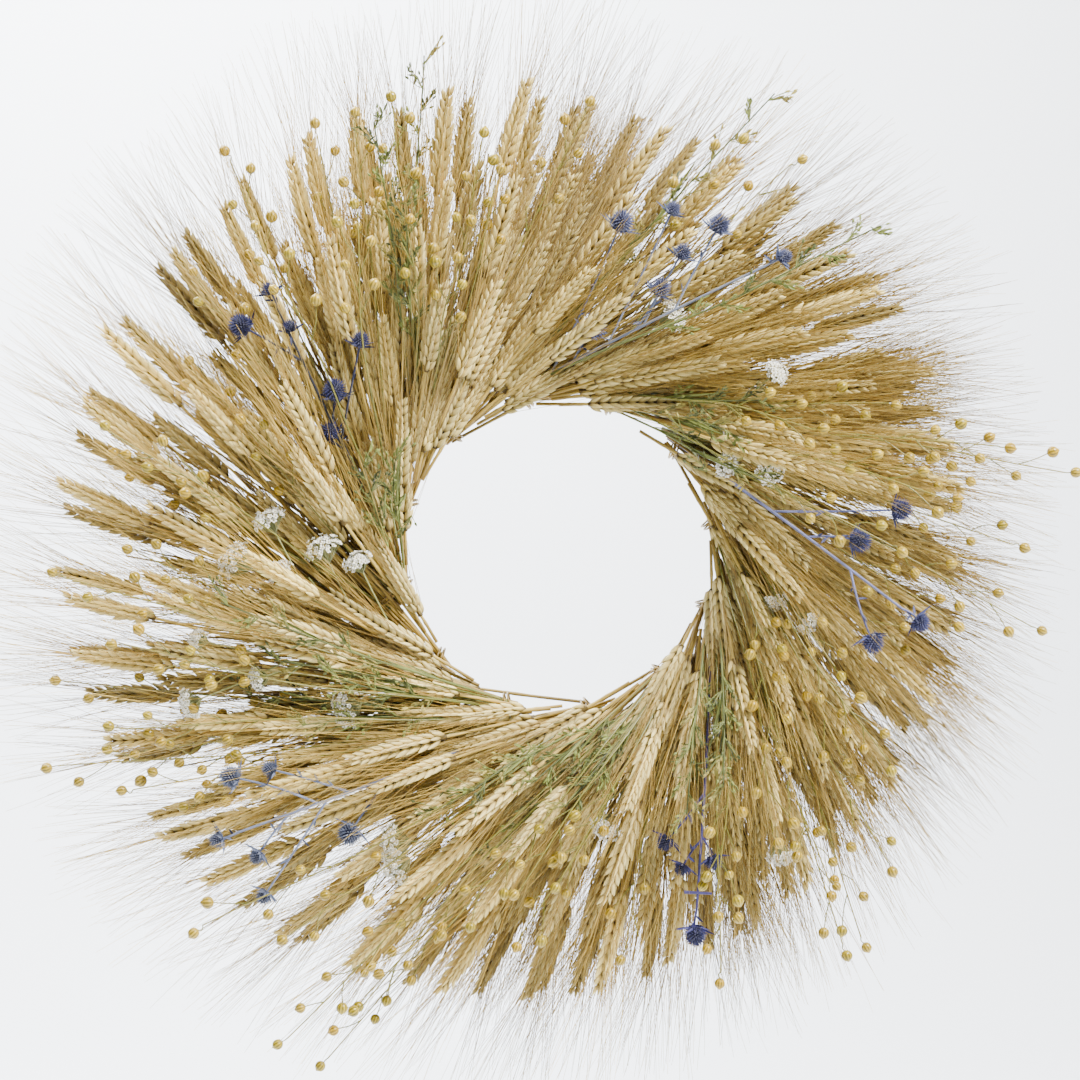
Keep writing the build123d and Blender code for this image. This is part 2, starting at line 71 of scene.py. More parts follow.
END_DEPTH = 0.35 * MM  # corners this near a stem's far point belong to its end
RING_GAP = 1.0 * MM  # a bent stem's rings of corners are further apart than this
FACE_DEPTH = 0.03 * MM  # corners this near a head's end belong to that end's face
TIP_RADIUS = 0.35 * MM  # a headed twig ends in a point narrower than this,
HEAD_RADIUS = 2.2 * MM  # and its head is wider than this
LEAF_CORNERS = 14  # a CAD leaf has no more corners than this
TWIG_REACH = 6 * MM  # a twig joins a main stem that is nearer than this


def solids_of(node):
    """The separate solids of a node, each as its corner points."""
    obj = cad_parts[node]
    mesh = obj.data
    mesh.calc_loop_triangles()
    co = np.empty(len(mesh.vertices) * 3)
    mesh.vertices.foreach_get("co", co)
    turn = np.array(obj.matrix_world)
    co = co.reshape(-1, 3) @ turn[:3, :3].T + turn[:3, 3]
    tri = np.empty(len(mesh.loop_triangles) * 3, dtype=np.int64)
    mesh.loop_triangles.foreach_get("vertices", tri)
    points, where = np.unique(np.round(co * 1e6).astype(np.int64), axis=0, return_inverse=True)
    tri = where.reshape(-1)[tri].reshape(-1, 3)
    label = np.arange(len(points))
    while True:
        new = label.copy()
        np.minimum.at(new, tri.ravel(), np.repeat(label[tri].min(1), 3))
        new = new[new]
        if (new == label).all():
            break
        label = new
    points = points * 1e-6
    order = np.argsort(label, kind="stable")
    starts = np.flatnonzero(np.diff(label[order], prepend=-1))
    return [points[part] for part in np.split(order, starts[1:])]


def ends_of(points):
    """The two far ends of a long solid: the one nearer the ring's centre first."""
    first = points[np.argmax(((points - points.mean(0)) ** 2).sum(1))]
    second = points[np.argmax(((points - first) ** 2).sum(1))]
    found = []
    for at, other in ((first, second), (second, first)):
        along = (other - at) / np.linalg.norm(other - at)
        slab = points[(points - at) @ along < END_DEPTH]
        found.append(slab.mean(0))
    found.sort(key=lambda p: np.hypot(p[0] - HOLE[0], p[2] - HOLE[2]))
    return found


def centre_line(points):
    """The middle line of a bent round stem, from its root."""
    root, tip = ends_of(points)
    along = (tip - root) / np.linalg.norm(tip - root)
    reach = (points - root) @ along
    order = np.argsort(reach)
    cuts = np.flatnonzero(np.diff(reach[order]) > RING_GAP) + 1
    line = np.array([points[part].mean(0) for part in np.split(order, cuts)])
    return line if len(line) > 2 else np.array([root, (root + tip) / 2, tip])


def sorted_solids(node):
    """A spray's main stems as lines, its headed twigs and its leaves."""
    stems, twigs, leaves = [], [], []
    for points in solids_of(node):
        if len(points) <= LEAF_CORNERS:
            leaves.append(ends_of(points))
            continue
        found = turned_head(points)
        if found:
            twigs.append(found)
        else:
            stems.append(centre_line(points))
    return stems, twigs, leaves


def turned_head(points):
    """A headed twig's cut end, tip, direction and widest radius, or None for a bent stem."""
    middle = points.mean(0)
    values, ways = np.linalg.eigh(np.cov((points - middle).T))
    way = ways[:, 2] if values[1] - values[0] < values[2] - values[1] else ways[:, 0]
    reach = (points - middle) @ way
    at_low, at_high = reach < reach.min() + FACE_DEPTH, reach > reach.max() - FACE_DEPTH
    if at_low.sum() < at_high.sum():
        way, reach, at_high = -way, -reach, at_low
    off = np.linalg.norm(points - middle - reach[:, None] * way, axis=1)
    if off[at_high].max() > TIP_RADIUS or off.max() < HEAD_RADIUS:
        return None
    return middle + way * reach.min(), middle + way * reach.max(), way, off.max()


def nearest_on(stems, point):
    """The closest point of any main stem, so that a twig starts inside it."""
    best = None
    for line in stems:
        a, b = line[:-1], line[1:]
        t = (((point - a) * (b - a)).sum(1) / ((b - a) ** 2).sum(1)).clip(0, 1)
        on = a + (b - a) * t[:, None]
        gap = ((on - point) ** 2).sum(1)
        if best is None or gap.min() < best[0]:
            best = (gap.min(), on[gap.argmin()])
    return best[1] if best and best[0] < TWIG_REACH ** 2 else point


# ---------------------------------------------------------------- growing meshes


class Growth:
    """Triangles with a colour each corner, gathered into one piece."""

    def __init__(self, cells):
        self.co, self.tri, self.col, self.uv = [], [], [], []
        self.count, self.side = 0, max(1, math.ceil(math.sqrt(cells)))

    def add(self, co, tri, col, cell, band, uv):
        """Copies of a shape: co is (copies, points, 3), and col has a colour for each."""
        copies, size = co.shape[:2]
        shift = self.count + np.arange(copies)[:, None, None] * size
        self.co.append(co.reshape(-1, 3))
        self.tri.append((tri[None] + shift).reshape(-1, 3))
        self.col.append(np.broadcast_to(col, (copies, size, 3)).reshape(-1, 3))
        low, high = band
        u = low + (high - low) * np.clip(uv[:, 0], 0.02, 0.98)
        v = np.clip(uv[:, 1], 0.03, 0.97)
        cell_at = np.array([cell % self.side, cell // self.side])
        where = (np.stack([u, v], 1) * 0.96 + 0.02 + cell_at) / self.side
        self.uv.append(np.broadcast_to(where, (copies, size, 2)).reshape(-1, 2))
        self.count += copies * size

    def piece(self, name, material):
        """The gathered triangles as one object, kept in front of the door."""
        co = np.concatenate(self.co)
        co[:, 1] = np.clip(co[:, 1], cad_box[0][1] - PROUD, BACK)
        tri = np.concatenate(self.tri).astype(np.int32)
        mesh = bpy.data.meshes.new(name)
        mesh.vertices.add(len(co))
        mesh.vertices.foreach_set("co", co.astype(np.float32).ravel())
        mesh.loops.add(tri.size)
        mesh.loops.foreach_set("vertex_index", tri.ravel())
        mesh.polygons.add(len(tri))
        mesh.polygons.foreach_set("loop_start", np.arange(len(tri), dtype=np.int32) * 3)
        mesh.update(calc_edges=True)
        mesh.shade_smooth()
        col = np.concatenate([np.concatenate(self.col), np.ones((len(co), 1))], 1)
        paint = mesh.color_attributes.new("Tone", "FLOAT_COLOR", "POINT")
        paint.data.foreach_set("color", col.clip(0, 1).astype(np.float32).ravel())
        layer = mesh.uv_layers.new(name="OFBake")
        layer.data.foreach_set("uv", np.concatenate(self.uv)[tri.ravel()].astype(np.float32).ravel())
        mesh.materials.append(material)
        obj = bpy.data.objects.new(name, mesh)
        bpy.context.scene.collection.objects.link(obj)
        return obj


def lathe(profile, sides, flat=1.0):
    """A turned shape along +X from (x, radius) pairs, with its triangles and its uv."""
    rings = len(profile)
    angle = np.arange(sides) * 2 * math.pi / sides
    co = np.empty((rings, sides, 3))
    uv = np.empty((rings, sides, 2))
    for n, (x, r) in enumerate(profile):
        co[n] = np.stack([np.full(sides, x), r * np.cos(angle), r * flat * np.sin(angle)], 1)
        uv[n] = np.stack([np.arange(sides) / sides, np.full(sides, n / (rings - 1))], 1)
    return co.reshape(-1, 3), tube_faces(rings, sides), uv.reshape(-1, 2)


def tube_faces(rings, sides):
    """The triangles between neighbouring rings of points."""
    tri = []
    for n in range(rings - 1):
        for k in range(sides):
            a, b = n * sides + k, n * sides + (k + 1) % sides
            tri += [(a, b, b + sides), (a, b + sides, a + sides)]
    return np.array(tri)


def unit(v):
    """Vectors scaled to a length of 1."""
    return v / np.linalg.norm(v, axis=-1, keepdims=True)


def frames(along, hint):
    """Right-handed axes whose first is along, for many directions at once."""
    side = unit(np.cross(hint, along))
    return np.stack([along, side, np.cross(along, side)], -2)


def placed(shape, origin, axes, scale):
    """Copies of a shape at origins, turned to axes and scaled along them."""
    return origin[:, None] + np.einsum("npk,nkj->npj", shape[None] * scale[:, None], axes)


def tubes(paths, radii, sides):
    """Round hairs along paths: paths is (copies, steps, 3), radii (copies, steps)."""
    copies, steps = paths.shape[:2]
    along = unit(np.gradient(paths, axis=1))
    hint = np.where(np.abs(along[..., 1:2]) < 0.9, [0.0, 1.0, 0.0], [1.0, 0.0, 0.0])
    side = unit(np.cross(hint, along))
    up = np.cross(along, side)
    angle = np.arange(sides) * 2 * math.pi / sides
    ring = side[:, :, None] * np.cos(angle)[:, None] + up[:, :, None] * np.sin(angle)[:, None]
    co = paths[:, :, None] + ring * radii[:, :, None, None]
    u = np.broadcast_to(np.arange(sides) / sides, (steps, sides))
    v = np.broadcast_to((np.arange(steps) / (steps - 1))[:, None], (steps, sides))
    return co.reshape(copies, -1, 3), tube_faces(steps, sides), np.stack([u, v], -1).reshape(-1, 2)


def graded(first, last, steps, sides):
    """A colour that runs from the root of a tube to its tip."""
    share = np.linspace(0, 1, steps)[:, None, None]
    return np.broadcast_to(first * (1 - share) + last * share, (steps, sides, 3)).reshape(-1, 3)


def by_ring(shares, sides):
    """One share for each ring of a turned shape, repeated for its points."""
    return np.repeat(np.array(shares), sides)[:, None]


def spiral_cap(count, depth, height):
    """Points spread evenly over a ball from its pole down to depth, its axis scaled by height."""
    k = np.arange(count) + 0.5
    z = 1 - depth * k / count
    turn = k * SPIRAL_TURN
    ring = np.sqrt(1 - z ** 2)
    return np.stack([z * height, ring * np.cos(turn), ring * np.sin(turn)], 1)


# ---------------------------------------------------------------- materials


def nodes_of(name):
    """A new material with its node tree and its main shader."""
    material = bpy.data.materials.new(name)
    material.use_nodes = True
    tree = material.node_tree
    return material, tree, tree.nodes["Principled BSDF"]


def noise(tree, scale, detail):
    """A noise pattern that stays with the object."""
    where = tree.nodes.new("ShaderNodeTexCoord")
    texture = tree.nodes.new("ShaderNodeTexNoise")
    texture.inputs["Scale"].default_value = scale
    texture.inputs["Detail"].default_value = detail
    tree.links.new(where.outputs["Object"], texture.inputs["Vector"])
    return texture.outputs["Fac"]


def ranged(tree, value, low, high):
    """A noise pattern's middle range spread from low to high."""
    node = tree.nodes.new("ShaderNodeMapRange")
    node.inputs["From Min"].default_value = 0.3
    node.inputs["From Max"].default_value = 0.7
    node.inputs["To Min"].default_value = low
    node.inputs["To Max"].default_value = high
    tree.links.new(value, node.inputs["Value"])
    return node.outputs["Result"]


def plant(name, dark, light, rough, bump, sheen):
    """A dried plant: its grown colours, which for the wheat also hold painted shade and painted highlight,
    broken by blotches and fine grain.
    """
    material, tree, shader = nodes_of(name)
    grown = tree.nodes.new("ShaderNodeAttribute")
    grown.attribute_name = "Tone"
    blotch = ranged(tree, noise(tree, 95, 3), dark, light)
    grain = ranged(tree, noise(tree, 1500, 2), 0.9, 1.1)
    both = tree.nodes.new("ShaderNodeMath")
    both.operation = "MULTIPLY"
    tree.links.new(blotch, both.inputs[0])
    tree.links.new(grain, both.inputs[1])
    mixed = tree.nodes.new("ShaderNodeVectorMath")
    mixed.operation = "SCALE"
    tree.links.new(grown.outputs["Color"], mixed.inputs[0])
    tree.links.new(both.outputs[0], mixed.inputs["Scale"])
    tree.links.new(mixed.outputs[0], shader.inputs["Base Color"])
    worn = ranged(tree, noise(tree, 420, 2), rough - 0.1, rough + 0.1)
    tree.links.new(worn, shader.inputs["Roughness"])
    bumps = tree.nodes.new("ShaderNodeBump")
    bumps.inputs["Strength"].default_value = bump
    bumps.inputs["Distance"].default_value = 0.3 * MM
    tree.links.new(noise(tree, 1800, 3), bumps.inputs["Height"])
    tree.links.new(bumps.outputs["Normal"], shader.inputs["Normal"])
    shader.inputs["Sheen Weight"].default_value = sheen
    shader.inputs["Specular IOR Level"].default_value = 0.35
    return material


def metal(name, first, second, rough, metallic):
    """Wire: its colour worn to a second one in patches, duller in places."""
    material, tree, shader = nodes_of(name)
    ramp = tree.nodes.new("ShaderNodeValToRGB")
    for stop, colour, place in zip(ramp.color_ramp.elements, (first, second), (0.42, 0.68)):
        stop.color = (*colour, 1)
        stop.position = place
    tree.links.new(noise(tree, 260, 4), ramp.inputs["Fac"])
    tree.links.new(ramp.outputs["Color"], shader.inputs["Base Color"])
    drawn = ranged(tree, noise(tree, 700, 2), rough - 0.12, rough + 0.12)
    tree.links.new(drawn, shader.inputs["Roughness"])
    shader.inputs["Metallic"].default_value = metallic
    return material


straw = plant("straw", 0.84, 1.12, 0.58, 0.35, 0.12)
flax_skin = plant("flax", 0.82, 1.14, 0.3, 0.2, 0.0)
green_leaf = plant("green", 0.75, 1.2, 0.6, 0.35, 0.15)
holly_skin = plant("sea_holly", 0.75, 1.25, 0.62, 0.4, 0.25)
petal = plant("petals", 0.93, 1.05, 0.75, 0.2, 0.2)

# ---------------------------------------------------------------- wheat

STRAW_GOLD, STRAW_PALE = tone("8C7026"), tone("CDB05A")
# The kernels' darkest colour is painted shade at their hidden bases, and their palest is painted highlight
# towards their tips.
EAR_PAINTED_SHADE, EAR_MID, EAR_PAINTED_HIGHLIGHT = tone("35240A"), tone("B8983C"), tone("F2E19C")
AWN_GOLD, AWN_PALE = tone("9E781C"), tone("D9BA60")
STRAW_RADIUS, STRAW_STEPS, STRAW_SIDES = 1.12 * MM, 9, 7
NECK_RADIUS, EAR_RADIUS = 1.35 * MM, 1.85 * MM  # where a CAD stalk swells, and where its ear still is
KERNEL_RINGS, KERNEL_SIDES = 6, 6
KERNEL = lathe([(0, 0.35), (0.16, 0.86), (0.4, 1.0), (0.68, 0.72), (0.88, 0.3), (1.0, 0.04)], KERNEL_SIDES)
ROWS = 9  # spikelets on each side of an ear
FLORETS = ((-68, 0.94), (0, 1.0), (68, 0.94))  # roll about the ear in degrees, and size
AWN_STEPS, AWN_SIDES = 6, 3
AWNED = 0.7  # the share of kernels that carry an awn
AWN_MIN, AWN_MAX, AWN_PAST = 20 * MM, 92 * MM, 13 * MM
AWN_OUT = 7 * MM  # how far an awn may pass the CAD box before it is shortened
AWN_EASE = 0.35  # how fast an awn turns from its kernel's way to its own
PAST_EAR = 0.55  # the share of an ear's slope that its awns keep


class Stalk:
    """One stalk of bearded wheat along a straight line, with its own tint, twist and bend; the tint also
    holds painted shade, darker the nearer its ear lies to the door.
    """

    def __init__(self, root, along, start, stop, full):
        self.root, self.along, self.start, self.full = root, along, start, full
        self.length = stop - start
        golden = 0.5 + 0.5 * math.cos(math.atan2(root[2] - HOLE[2], root[0]) - math.radians(115))
        warm = 0.55 * golden + 0.45 * rng.random()
        bright = (1.0 - 0.16 * warm) * (0.74 + 0.4 * rng.random())
        tint = bright * np.array([1, 1 - 0.03 * warm, 1 - 0.22 * warm])
        # Painted shade: stalks whose ears lie nearer the door are painted darker.
        self.tint = tint * np.clip(0.34 + (root[1] + along[1] * start) / (-55 * MM), 0.4, 1.1)
        lean = unit(rng.normal(size=3) * [1, 0.35, 1])
        self.lean = unit(lean - along * (lean @ along))
        self.bend = rng.uniform(0.3, 2.6) * MM / self.length ** 2
        twist = math.radians(rng.normal(0, 28))
        self.flat = np.cross(along, [0.0, 1.0, 0.0])
        self.rank = unit(self.flat) * math.cos(twist) + unit(np.cross(along, self.flat)) * math.sin(twist)
        self.face = np.cross(along, self.rank)

    def bent(self, co):
        """Points moved with the ear's own slight bend, which eases past its tip."""
        x = (co - self.root) @ self.along - self.start
        on_ear = np.clip(x, 0, self.length)
        over = np.clip(x - self.length, 0, None)
        shift = self.bend * (on_ear ** 2 + 2 * self.length * over * PAST_EAR)
        return co + shift[..., None] * self.lean

    def grow(self, grown, cell):
        """The whole stalk, added to a bundle."""
        self.grow_straw(grown, cell)
        tips, ways, laterals = self.grow_kernels(grown, cell)
        self.grow_awns(grown, cell, tips, ways, laterals)

    def grow_straw(self, grown, cell):
        """A slightly bowed straw with one node, and the ear's core, painted dark as the shade that shows
        between the kernels.
        """
        steps = np.linspace(0, 1, STRAW_STEPS)
        path = self.root + self.along * (steps * (self.start + 3 * MM))[:, None]
        bow = rng.uniform(-1, 1) * 0.006 * self.start
        path = path + (np.sin(steps * math.pi) ** 2 * bow)[:, None] * unit(self.flat)
        thick = np.full(STRAW_STEPS, STRAW_RADIUS) * (1 - 0.12 * steps)
        thick[rng.integers(3, 6)] *= 1.22
        co, tri, uv = tubes(path[None], thick[None], STRAW_SIDES)
        dye = graded(STRAW_GOLD * self.tint * 0.94, STRAW_PALE * self.tint, STRAW_STEPS, STRAW_SIDES)
        grown.add(co, tri, dye, cell, STEM_BAND, uv)
        stop = self.start + self.length
        # Painted shade: the core is painted dark so that the gaps between the kernels read as shadow.
        core = self.root + self.along * np.linspace(self.start, stop - 5 * MM, 6)[:, None]
        co, tri, uv = tubes(self.bent(core)[None], np.linspace(1.7, 1.0, 6)[None] * MM, 6)
        grown.add(co, tri, STRAW_GOLD * 0.45 * self.tint, cell, STEM_BAND, uv)

    def grow_kernels(self, grown, cell):
        """Two ranks of spikelets, three kernels each; gives each kernel's tip, way and side."""
        rows = np.arange(ROWS * 2 + 1)
        place = 0.02 + 0.9 * rows / rows[-1]
        size = 0.80 + 0.36 * np.sin(np.clip(place + 0.12, 0, 1) * math.pi) - 0.12 * place
        side = np.where(rows % 2, 1.0, -1.0)
        origins, ways, scales, laterals = [], [], [], []
        for roll, share in FLORETS:
            spread = math.radians(roll)
            out = self.rank * math.cos(spread) * side[:, None] + self.face * math.sin(spread)
            tilt = np.radians(29 + rng.normal(0, 2.6, len(rows)) - 11 * place)
            ways.append(self.along * np.cos(tilt)[:, None] + out * np.sin(tilt)[:, None])
            on_core = self.root + self.along * (self.start + place * self.length)[:, None]
            origins.append(on_core + out * 1.2 * MM)
            scales.append(size * share * (1 + rng.normal(0, 0.05, len(rows))))
            laterals.append(out)
        origins, ways = np.concatenate(origins), np.concatenate(ways)
        scales, laterals = np.concatenate(scales), np.concatenate(laterals)
        pitch = self.length / (ROWS * 2)
        scale = np.stack([scales * 3.1 * pitch, scales * 1.45 * MM, scales * 2.1 * MM], 1)
        shape, tri, uv = KERNEL
        co = self.bent(placed(shape, origins, frames(ways, laterals), scale))
        # Painted shade at each kernel's base, where it tucks under its neighbour, and painted highlight
        # towards its tip.
        ring = by_ring(np.linspace(0, 1, KERNEL_RINGS), KERNEL_SIDES)
        shade, shine = np.clip(1 - ring / 0.34, 0, 1), np.clip(ring / 0.8, 0, 1)
        body = EAR_PAINTED_SHADE * shade + (EAR_MID * (1 - shine) + EAR_PAINTED_HIGHLIGHT * shine) * (1 - shade)
        lobes = 0.93 + 0.14 * rng.random((len(origins), 1, 1))
        grown.add(co, tri, body[None] * lobes * self.tint, cell, HEAD_BAND, uv)
        return origins + ways * scale[:, :1] * 0.97, ways, laterals

    def grow_awns(self, grown, cell, tips, ways, laterals):
        """Long bristles that leave the kernels' tips and lie along the ear."""
        awned = rng.random(len(tips)) < AWNED
        tips, ways, laterals = tips[awned], ways[awned], laterals[awned]
        count = len(tips)
        past = np.clip(self.full + AWN_PAST - ((tips - self.root) @ self.along), AWN_MIN, None)
        reach = np.minimum(past, AWN_MAX) * rng.uniform(0.72, 1.0, count)
        splay = np.radians(rng.uniform(3, 14, count) + rng.exponential(2.5, count))
        out = unit(laterals + rng.normal(0, 0.45, (count, 3)))
        out = unit(out - (out @ self.along)[:, None] * self.along)
        straight = self.along * np.cos(splay)[:, None] + out * np.sin(splay)[:, None]
        for _ in range(8):
            ends = tips + straight * reach[:, None]
            proud = np.maximum(np.array(cad_box[0]) - ends, ends - np.array(cad_box[1])).max(1)
            reach = np.where(proud > AWN_OUT, reach * 0.82, reach)
        first = unit(ways * 0.6 + straight * 0.4)
        curl = rng.normal(0, 0.035, (count, 3))
        t = np.linspace(0, 1, AWN_STEPS)
        path = tips[:, None] + reach[:, None, None] * (
            first[:, None] * (t - AWN_EASE * t ** 2)[None, :, None]
            + straight[:, None] * (AWN_EASE * t ** 2)[None, :, None]
            + curl[:, None] * (t ** 2)[None, :, None]
        )
        hair = np.linspace(0.22, 0.10, AWN_STEPS)[None] * MM * rng.uniform(0.8, 1.15, (count, 1))
        co, tri, uv = tubes(self.bent(path), hair, AWN_SIDES)
        dye = graded(AWN_GOLD * self.tint, AWN_PALE * self.tint, AWN_STEPS, AWN_SIDES)[None]
        grown.add(co, tri, dye * rng.uniform(0.55, 1.2, (count, 1, 1)), cell, TRIM_BAND, uv)


def wheat_bundle(node):
    """A bundle of wheat, each stalk grown along its own CAD stalk."""
    stalks = solids_of(node)
    grown = Growth(len(stalks))
    for number, points in enumerate(stalks):
        root, tip = ends_of(points)
        along = unit(tip - root)
        reach = (points - root) @ along
        radius = np.linalg.norm(points - root - reach[:, None] * along, axis=1)
        start = reach[radius > NECK_RADIUS].min() - 0.6 * MM
        stop = reach[radius > EAR_RADIUS].max()
        Stalk(root, along, start, stop, np.linalg.norm(tip - root)).grow(grown, number)
    piece = grown.piece(node + "_grown", straw)
    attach(piece, "wreath")
    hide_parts(node)


RING, TIES = 112 * MM, 12
TIE_STEP, FIRST_TIE = 30.0, 105.0  # degrees round the ring
SWEEP = 62.0  # how far the stalks lie round from straight out, in degrees
# Rows of short stalks over each tie: how many, the straw behind the tie, the straw before the ear
# and the height off the door in mm, then the fan and the lean in degrees.
COVERS = (
    (6, (26, 44), (18, 34), (25, 31), 17, (3, 9)),
    (6, (4, 22), (30, 62), (19, 29), 30, (7, 15)),
    (12, (-8, 12), (60, 180), (3, 15), 44, (1, 11)),
)
COVER_TRIES = 20
COVER_WIDTH = 15 * MM  # half the width of a tie
HEAD_GAP, AHEAD = 9 * MM, 12 * MM  # kept from the heads of the sprays, to this far past the ear
RIM = 262 * MM  # short ears end inside this radius


def heading(degrees):
    """A unit vector in the plane of the wreath."""
    return np.array([math.cos(math.radians(degrees)), 0.0, math.sin(math.radians(degrees))])


def nearest_gap(heads, start, stop):
    """How near a line passes to any head, as seen from the front."""
    a, b = start[[0, 2]], stop[[0, 2]]
    flat = heads[:, [0, 2]]
    t = ((flat - a) @ (b - a) / ((b - a) @ (b - a))).clip(0, 1)
    return np.linalg.norm(flat - a - t[:, None] * (b - a), axis=1).min()


def covering_stalks(tie, heads):
    """Short stalks laid over one tie and between the bundles, clear of the sprays' heads."""
    tie_at = FIRST_TIE - TIE_STEP * tie
    tie_point = HOLE + RING * heading(tie_at)
    across = heading(tie_at - SWEEP - 90)
    grown = Growth(sum(row[0] for row in COVERS))
    cell = 0
    for many, back, stem, height, fan, lean in COVERS:
        for n in range(many):
            for _ in range(COVER_TRIES):
                place = (n + 0.5) / many * 2 - 1 + rng.normal(0, 0.12)
                sweep = tie_at - SWEEP - place * fan * rng.uniform(0.75, 1.1)
                tilt = math.radians(rng.uniform(*lean))
                along = heading(sweep) * math.cos(tilt) - np.array([0.0, math.sin(tilt), 0.0])
                root = tie_point + across * place * COVER_WIDTH - along * rng.uniform(*back) * MM
                root[1] = -rng.uniform(*height) * MM
                start = rng.uniform(*stem) * MM
                stop = start + rng.uniform(50, 62) * MM
                gap = nearest_gap(heads, root + along * start, root + along * (stop + AHEAD))
                end = root + along * (stop + 4 * MM) - HOLE
                if gap > HEAD_GAP and math.hypot(end[0], end[2]) < RIM:
                    break
            else:
                continue
            Stalk(root, along, start, stop, stop + rng.uniform(34, 52) * MM).grow(grown, cell)
            cell += 1
    piece = grown.piece("short_stalks_%02d" % (tie + 1), straw)
    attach(piece, "wreath")


THATCH, THATCH_STEPS, THATCH_SIDES = 150, 5, 4


def thatch(tie):
    """Loose straws lying flat behind the bundles, where little light reaches."""
    tie_at = FIRST_TIE - TIE_STEP * tie
    begin = tie_at + rng.uniform(-16, 16, THATCH)
    ring = RING + rng.uniform(-7, 16, THATCH) * MM
    at = HOLE + np.stack([heading(angle) * r for angle, r in zip(begin, ring)])
    at[:, 1] = -rng.uniform(2.5, 15, THATCH) * MM
    sweep = begin - rng.uniform(26, 82, THATCH)
    long = rng.uniform(50, 175, THATCH) * MM
    way = np.stack([heading(angle) for angle in sweep])
    way[:, 1] = -rng.uniform(0.0, 0.13, THATCH)
    t = np.linspace(0, 1, THATCH_STEPS)
    bow = np.cross(way, [0, 1, 0]) * rng.normal(0, 0.03, (THATCH, 1))
    line = way[:, None] * t[:, None] + bow[:, None] * (t ** 2)[:, None]
    path = at[:, None] + long[:, None, None] * line
    thick = rng.uniform(0.35, 1.0, (THATCH, 1)) * np.linspace(1, 0.5, THATCH_STEPS) * MM
    co, tri, uv = tubes(path, thick, THATCH_SIDES)
    # Painted shade: these straws are painted darker because they lie behind the bundles.
    shade = rng.uniform(0.35, 0.8, (THATCH, 1, 1))
    dye = graded(STRAW_GOLD * 0.8, STRAW_GOLD, THATCH_STEPS, THATCH_SIDES)[None]
    grown = Growth(1)
    grown.add(co, tri, dye * shade, 0, WHOLE_BAND, uv)
    piece = grown.piece("thatch_%02d" % (tie + 1), straw)
    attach(piece, "wreath")


# ---------------------------------------------------------------- sprays


def soft_path(start, end, bow, steps):
    """A gently bowed line between two points."""
    t = np.linspace(0, 1, steps)
    across = unit(np.cross(end - start, [0.1, 1.0, 0.2]))
    return start + (end - start) * t[:, None] + across * (np.sin(t * math.pi) * bow)[:, None]


def add_tube(grown, cell, path, first, last, colours, sides=6):
    """One round stem along a path, tapered and graded from its root."""
    steps = len(path)
    co, tri, uv = tubes(path[None], np.linspace(first, last, steps)[None], sides)
    grown.add(co, tri, graded(*colours, steps, sides), cell, STEM_BAND, uv)


def finish_spray(grown, node, material):
    """The grown spray in the place of its CAD node."""
    piece = grown.piece(node + "_grown", material)
    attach(piece, "wreath")
    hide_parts(node)


POD_SIDES, POD_RINGS = 20, 9
POD_GOLD, POD_SEAM, POD_TIP = tone("C4A436"), tone("36380C"), tone("5E4A1C")
FLAX_STEM, SEPAL_TONE = (tone("5F6228"), tone("857A38")), tone("8A7B3E")
POD_DYES = (np.array([1, 1, 1]), np.array([0.9, 0.97, 0.75]), np.array([1.0, 0.93, 0.6]))
POD_CHANCES = (0, 0, 0, 1, 2)  # most pods are plain, some greener and some browner


def flax_pod():
    """A round capsule with ten shallow lobes, a small point and a dished crown."""
    angle = np.arange(POD_SIDES) * 2 * math.pi / POD_SIDES
    co, col, uv = [], [], []
    for n in range(POD_RINGS):
        polar_at = math.pi * (0.03 + 0.94 * n / (POD_RINGS - 1))
        seam = np.abs(np.cos(angle * 5)) ** 6
        r = math.sin(polar_at) * (1 - 0.11 * seam * math.sin(polar_at))
        x = -math.cos(polar_at) * 0.98 + (0.16 if n == POD_RINGS - 1 else 0)
        co.append(np.stack([np.full(POD_SIDES, x), r * np.cos(angle), r * np.sin(angle)], 1))
        level = np.full(POD_SIDES, n / (POD_RINGS - 1))
        uv.append(np.stack([np.arange(POD_SIDES) / POD_SIDES, level], 1))
        share = (0.85 * seam * math.sin(polar_at) + 0.15 * (n < 2))[:, None]
        ring = POD_GOLD * (1 - share) + POD_SEAM * share
        col.append(ring if n < POD_RINGS - 1 else ring * 0.4 + POD_TIP * 0.6)
    return np.concatenate(co), tube_faces(POD_RINGS, POD_SIDES), np.concatenate(col), np.concatenate(uv)


POD = flax_pod()
SEPAL = lathe([(0, 0.3), (0.3, 1.0), (0.7, 0.6), (1.0, 0.05)], 4, 0.3)


